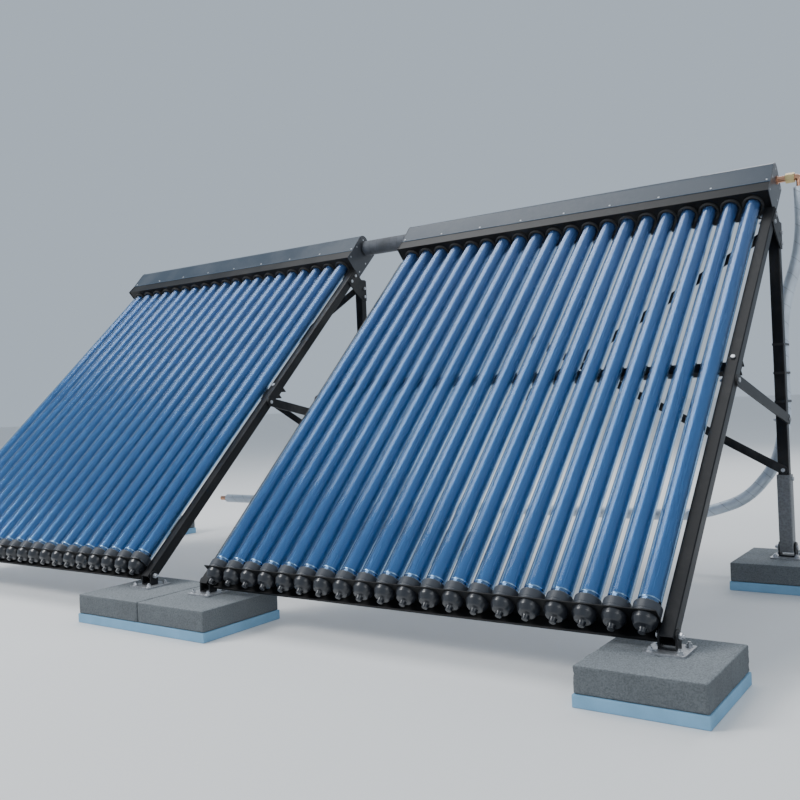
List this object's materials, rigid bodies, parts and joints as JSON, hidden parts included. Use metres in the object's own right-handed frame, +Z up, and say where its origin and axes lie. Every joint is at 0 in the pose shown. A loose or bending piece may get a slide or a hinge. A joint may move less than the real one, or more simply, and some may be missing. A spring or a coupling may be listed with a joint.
{
  "type": "solar water heater",
  "caption": "Evacuated-tube solar water heater: two linked collectors with finned heat pipes, manifolds and lagged pipework on a tilting steel stand with paved feet.",
  "frame": {"origin": "centre of the bounding box in x and y, at the underside of the foam boards, on the ground", "axes": "+X to the right along the two collectors, seen from the low front side; +Y to the rear, towards the raised manifolds; +Z up"},
  "size_m": [3.643, 1.655, 1.4796],
  "materials": {
    "tube_glass": "clear borosilicate glass",
    "absorber": "selective blue-black coating",
    "spring_steel": "bright",
    "copper": "bare copper",
    "plug_wool": "matt wool",
    "fin_aluminium": "mill finish",
    "cup_plastic": "moulded, semi-gloss",
    "ring_plastic": "moulded",
    "seal_rubber": "silicone rubber",
    "casing_paint": "black powder coat",
    "hood_paint": "slate satin powder coat",
    "end_plate_paint": "dark powder coat",
    "mineral_wool": "pressed wool",
    "rail_paint": "black powder coat",
    "leg_paint": "black powder coat",
    "strut_paint": "black powder coat",
    "track_paint": "black powder coat",
    "zinc_bolts": "zinc plated",
    "sleeve_zinc": "galvanised",
    "clevis_paint": "black paint",
    "plate_zinc": "galvanised",
    "concrete": "rough grey concrete",
    "foam": "pale blue extruded foam board",
    "lagging_tape": "weathered wrapped tape",
    "lagging_foil": "silver faced foam sleeve",
    "union_brass": "hex brass",
    "tie_plastic": "black nylon",
    "hanger_zinc": "galvanised strip"
  },
  "bodies": {
    "base": {"front_pavers": "concrete", "rear_pavers": "concrete", "front_foam_boards": "foam", "rear_foam_boards": "foam", "foot_plates": "plate_zinc", "front_clevises": "clevis_paint", "rear_clevises": "clevis_paint", "anchor_bolts": "zinc_bolts", "front_pivot_bolts": "zinc_bolts"},
    "leg_sleeves": {"leg_sleeves": "sleeve_zinc", "sleeve_screws": "zinc_bolts", "rear_pivot_bolts": "zinc_bolts"},
    "tubes_left": {"outer_glass_left": "tube_glass", "absorber_tubes_left": "absorber", "getter_clips_left": "spring_steel", "heat_fins_left": "fin_aluminium", "heat_pipes_left": "copper", "tube_plugs_left": "plug_wool", "end_cups_left": "cup_plastic"},
    "tubes_right": {"outer_glass_right": "tube_glass", "absorber_tubes_right": "absorber", "getter_clips_right": "spring_steel", "heat_fins_right": "fin_aluminium", "heat_pipes_right": "copper", "tube_plugs_right": "plug_wool", "end_cups_right": "cup_plastic"},
    "array": {"bottom_track_left": "track_paint", "bottom_track_right": "track_paint", "cable_ties": "tie_plastic", "cross_braces_left": "strut_paint", "cross_braces_right": "strut_paint", "cup_rings_left": "ring_plastic", "cup_rings_right": "ring_plastic", "frame_bolts": "zinc_bolts", "header_pipe_left": "copper", "header_pipe_right": "copper", "leg_gussets": "strut_paint", "link_lagging": "lagging_tape", "link_pipe": "copper", "manifold_brackets": "strut_paint", "manifold_casing_left": "casing_paint", "manifold_casing_right": "casing_paint", "manifold_end_plates_left": "end_plate_paint", "manifold_end_plates_right": "end_plate_paint", "manifold_hood_left": "hood_paint", "manifold_hood_right": "hood_paint", "manifold_insulation_left": "mineral_wool", "manifold_insulation_right": "mineral_wool", "mid_crossbars": "strut_paint", "pipe_hanger": "hanger_zinc", "port_unions": "union_brass", "rear_legs_left": "leg_paint", "rear_legs_right": "leg_paint", "return_lagging": "lagging_foil", "return_pipe": "copper", "side_rails_left": "rail_paint", "side_rails_right": "rail_paint", "side_struts": "strut_paint", "tube_seals_left": "seal_rubber", "tube_seals_right": "seal_rubber"}
  },
  "joints": [
    {"name": "tilt", "type": "hinge", "parent": "base", "child": "array", "pos_m": [0, -0.6255, 0.13105], "axis": [1, 0, 0], "range_deg": [0, 6]},
    {"name": "leg_extend", "type": "slide", "parent": "array", "child": "leg_sleeves", "axis": [0, 0, -1], "range_m": [0, 0.13526]},
    {"name": "tubes_left_slide", "type": "slide", "parent": "array", "child": "tubes_left", "axis": [0, -0.7278, -0.6858], "range_m": [0, 0.03]},
    {"name": "tubes_right_slide", "type": "slide", "parent": "array", "child": "tubes_right", "axis": [0, -0.7278, -0.6858], "range_m": [0, 0.03]}
  ],
  "couplings": [
    {"joint": "leg_extend", "follows": "tilt", "m_per_rad": 1.2897}
  ]
}
